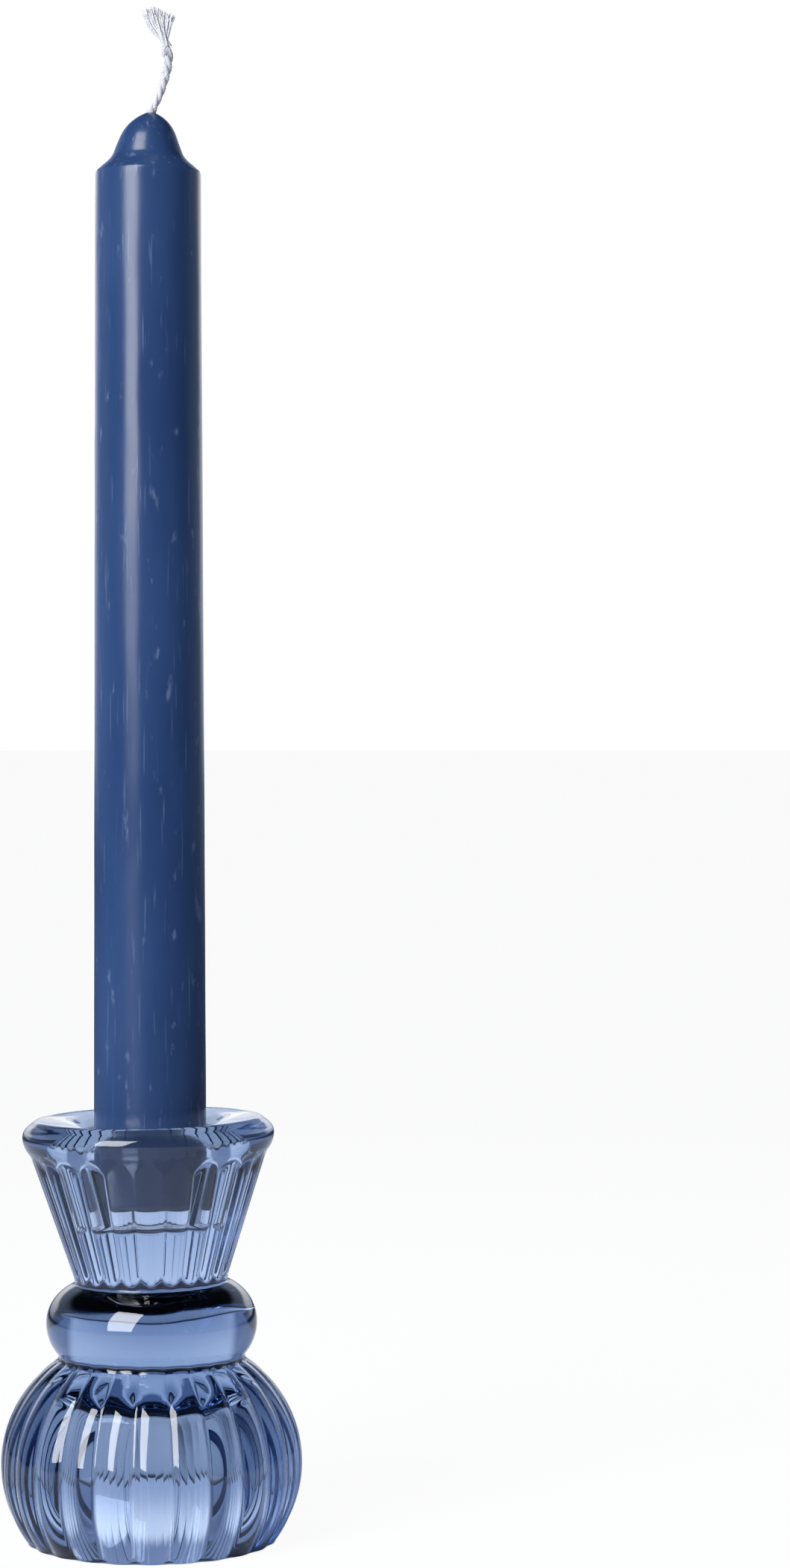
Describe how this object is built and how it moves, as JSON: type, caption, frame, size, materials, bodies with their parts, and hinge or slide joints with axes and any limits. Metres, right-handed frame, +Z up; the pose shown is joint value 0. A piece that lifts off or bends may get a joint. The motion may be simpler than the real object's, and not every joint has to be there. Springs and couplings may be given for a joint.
{
  "type": "ribbed glass candlestick with candle",
  "caption": "Ribbed pressed-glass candlestick: a hollow globe foot, a smooth ring and a cone socket, with a dinner candle and its wick.",
  "frame": {"origin": "centre of the foot, on the surface that the candlestick stands on", "axes": "+Z up along the candle; the wick bows towards +X"},
  "size_m": [0.0632, 0.0632, 0.3213],
  "materials": {
    "blue_glass": "clear blue pressed glass, fire polished",
    "blue_wax": "dark blue moulded wax, satin",
    "wick_cotton": "unwaxed plied cotton"
  },
  "bodies": {
    "holder": {"glass_holder": "blue_glass"},
    "candle": {"candle_wax": "blue_wax", "wick_yarn_a": "wick_cotton", "wick_yarn_b": "wick_cotton", "wick_yarn_c": "wick_cotton"}
  },
  "joints": [
    {"name": "candle_lift", "type": "slide", "parent": "holder", "child": "candle", "axis": [0, 0, 1], "range_m": [0, 0.05]}
  ]
}
